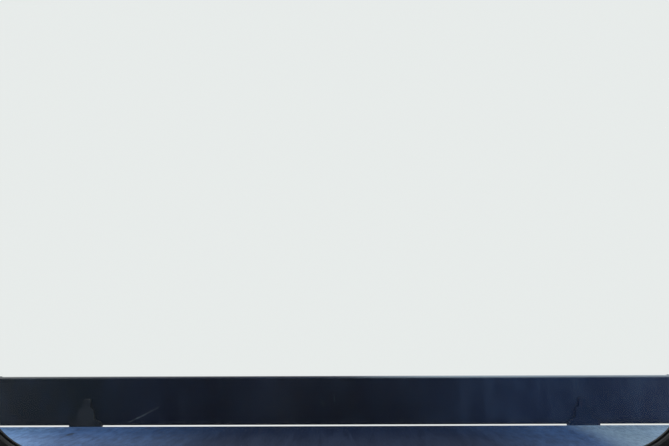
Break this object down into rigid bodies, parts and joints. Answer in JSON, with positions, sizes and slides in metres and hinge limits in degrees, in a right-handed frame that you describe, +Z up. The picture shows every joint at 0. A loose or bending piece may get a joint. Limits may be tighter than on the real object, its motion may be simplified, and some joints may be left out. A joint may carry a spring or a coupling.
{
  "type": "funicular car front end",
  "caption": "Uphill end wall of a funicular car: raked windscreen in rubber, deep metal ledge with a guard beam across it, apron with lamps, and a wiper.",
  "frame": {"origin": "centre of the sill's flat rear face, on the car's centre line, where the module bolts to the car body", "axes": "+X to the right seen from inside the car, +Y outward and uphill along the car, +Z up"},
  "size_m": [2.4, 0.845, 2.7267],
  "materials": {
    "frame_paint": "dark grey paint on steel tube",
    "body_paint": "satin blue-grey paint",
    "ledge_metal": "worn blue-grey paint with streaks",
    "beam_paint": "blue-black paint, scratched",
    "rubber": "black rubber",
    "glass": "clear laminated glass",
    "lamp_metal": "bright pressed reflector",
    "lamp_rim": "polished ring",
    "lamp_glass": "clear domed glass",
    "wiper_metal": "black painted steel",
    "lining": "light grey laminate",
    "board": "dark grained board"
  },
  "bodies": {
    "front_end": {"apron_panel": "body_paint", "front_ledge": "ledge_metal", "guard_beam": "beam_paint", "header_beam": "frame_paint", "header_trim": "lining", "ledge_bearers": "frame_paint", "ledge_gussets": "frame_paint", "left_beam_bracket": "beam_paint", "left_beam_cap": "beam_paint", "left_headlamp_can": "lamp_metal", "left_headlamp_lens": "lamp_glass", "left_headlamp_rim": "lamp_rim", "left_pillar": "frame_paint", "left_pillar_trim": "lining", "left_screen_lining": "lining", "left_side_panel": "body_paint", "left_side_surround": "body_paint", "lower_lining": "lining", "lower_posts": "frame_paint", "lower_screen_panel": "body_paint", "nose_front_rail": "frame_paint", "right_beam_bracket": "beam_paint", "right_beam_cap": "beam_paint", "right_headlamp_can": "lamp_metal", "right_headlamp_lens": "lamp_glass", "right_headlamp_rim": "lamp_rim", "right_pillar": "frame_paint", "right_pillar_trim": "lining", "right_screen_lining": "lining", "right_side_panel": "body_paint", "right_side_surround": "body_paint", "roof_brow": "body_paint", "roof_rail": "frame_paint", "screen_gasket": "rubber", "sill_beam": "frame_paint", "skirt_arms": "frame_paint", "skirt_rail": "frame_paint", "upper_screen_panel": "body_paint", "waist_beam": "frame_paint", "window_board": "board", "windscreen_glass": "glass", "wiper_motor": "wiper_metal"},
    "wiper": {"wiper_spindle": "wiper_metal", "wiper_arm": "wiper_metal", "wiper_blade": "wiper_metal", "wiper_rubber": "rubber"}
  },
  "joints": [
    {"name": "wiper_swing", "type": "hinge", "parent": "front_end", "child": "wiper", "pos_m": [-0.5, 0.11458, 2.49326], "axis": [0, 0.9877, 0.1564], "range_deg": [0, 95]}
  ]
}
